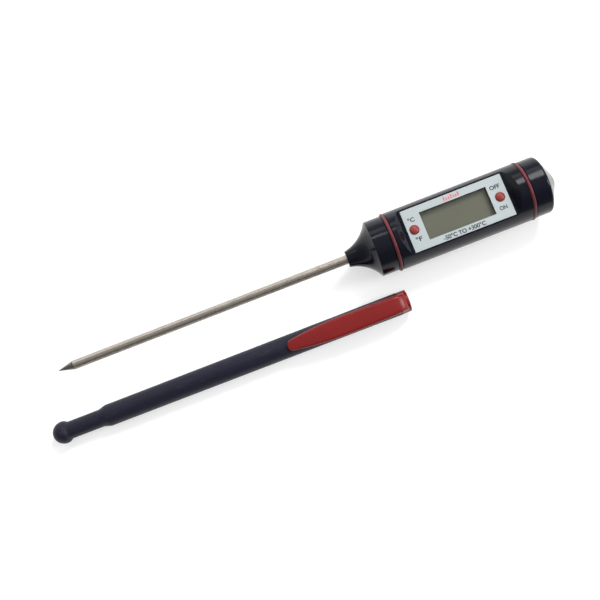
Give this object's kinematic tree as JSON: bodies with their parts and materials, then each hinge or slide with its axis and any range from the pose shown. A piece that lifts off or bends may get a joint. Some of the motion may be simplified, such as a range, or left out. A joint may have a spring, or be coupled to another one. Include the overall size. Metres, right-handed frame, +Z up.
{
  "type": "probe thermometer with sheath",
  "caption": "Pen-shaped digital probe thermometer with a pointed steel probe, a display between two push buttons and a screw cap, beside its pocket sheath with clip.",
  "frame": {"origin": "on the surface that the thermometer and its sheath lie on, under the middle of their common box", "axes": "+X from the probe's point to the battery cap, +Z up out of the display, +Y away from the sheath"},
  "size_m": [0.2178, 0.039, 0.0235],
  "materials": {
    "stainless": "drawn and lightly polished stainless steel",
    "gloss_black": "glossy injection-moulded ABS",
    "ring_red": "smooth red rubber",
    "label_print": "printed polyester label, satin",
    "window_clear": "clear acrylic",
    "display_glass": "blank reflective liquid crystal display",
    "button_red": "red moulded plastic",
    "clip_red": "glossy dark red plastic",
    "sheath_black": "matt charcoal plastic",
    "board_green": "solder mask on glass-fibre board",
    "epoxy_black": "chip-on-board epoxy",
    "components": "surface-mounted components",
    "switch_body": "black switch housing",
    "contact_metal": "nickel-plated spring steel",
    "cell_steel": "nickel-plated cell",
    "contact_rubber": "striped conductive rubber",
    "frame_black": "black moulded frame",
    "carrier_white": "natural nylon",
    "potting_amber": "hard epoxy",
    "wire_red": "PVC insulation",
    "lead_enamel": "enamelled copper",
    "sleeve_white": "glass-fibre sleeve",
    "bead_glass": "sealed glass bead",
    "foam_grey": "closed-cell foam"
  },
  "bodies": {
    "thermometer": {"probe_tube": "stainless", "probe_point": "stainless", "thermistor_bead": "bead_glass", "thermistor_leads": "lead_enamel", "tip_potting": "potting_amber", "lead_sleeve": "sleeve_white", "nose_cone": "gloss_black", "epoxy_plug": "potting_amber", "front_ring": "ring_red", "rear_ring": "ring_red", "handle_body": "gloss_black", "face_label": "label_print", "display_window": "window_clear", "lcd_panel": "display_glass", "contact_strips": "contact_rubber", "lcd_frame": "frame_black", "circuit_board": "board_green", "chip_blob": "epoxy_black", "board_components": "components", "unit_switch": "switch_body", "power_switch": "switch_body", "positive_contact": "contact_metal", "battery_carrier": "carrier_white", "negative_spring": "contact_metal", "battery_wires": "wire_red"},
    "unit_key": {"unit_button": "button_red", "unit_plunger": "switch_body"},
    "power_key": {"power_button": "button_red", "power_plunger": "switch_body"},
    "cell": {"battery_cell": "cell_steel"},
    "cap": {"battery_cap": "gloss_black", "cap_pad": "foam_grey"},
    "sheath": {"sheath_tube": "sheath_black", "clip_collar": "clip_red"},
    "clip": {"clip_tongue": "clip_red"}
  },
  "joints": [
    {"name": "unit_press", "type": "slide", "parent": "thermometer", "child": "unit_key", "axis": [0, 0, -1], "range_m": [0, 0.0004], "stiffness_N_per_m": 800, "springref_m": -0.0004},
    {"name": "power_press", "type": "slide", "parent": "thermometer", "child": "power_key", "axis": [0, 0, -1], "range_m": [0, 0.0004], "stiffness_N_per_m": 800, "springref_m": -0.0004},
    {"name": "cell_slide", "type": "slide", "parent": "thermometer", "child": "cell", "axis": [1, 0, 0], "range_m": [0, 0.009]},
    {"name": "cap_turn", "type": "hinge", "parent": "cell", "child": "cap", "pos_m": [0.10185, 0.00775, 0.01175], "axis": [1, 0, 0], "range_deg": [0, 2160]},
    {"name": "sheath_carry", "type": "slide", "parent": "thermometer", "child": "sheath", "axis": [-0.9925, 0.1162, 0.0373], "range_m": [0, 0.19445]},
    {"name": "clip_flex", "type": "hinge", "parent": "sheath", "child": "clip", "pos_m": [0.03695, -0.01555, 0.01071], "axis": [0, 0.9936, 0.1132], "range_deg": [0, 4], "stiffness_Nm_per_rad": 0.5, "springref_deg": -1.15}
  ],
  "couplings": [
    {"joint": "cell_slide", "follows": "cap_turn", "m_per_rad": 0.00023873}
  ]
}
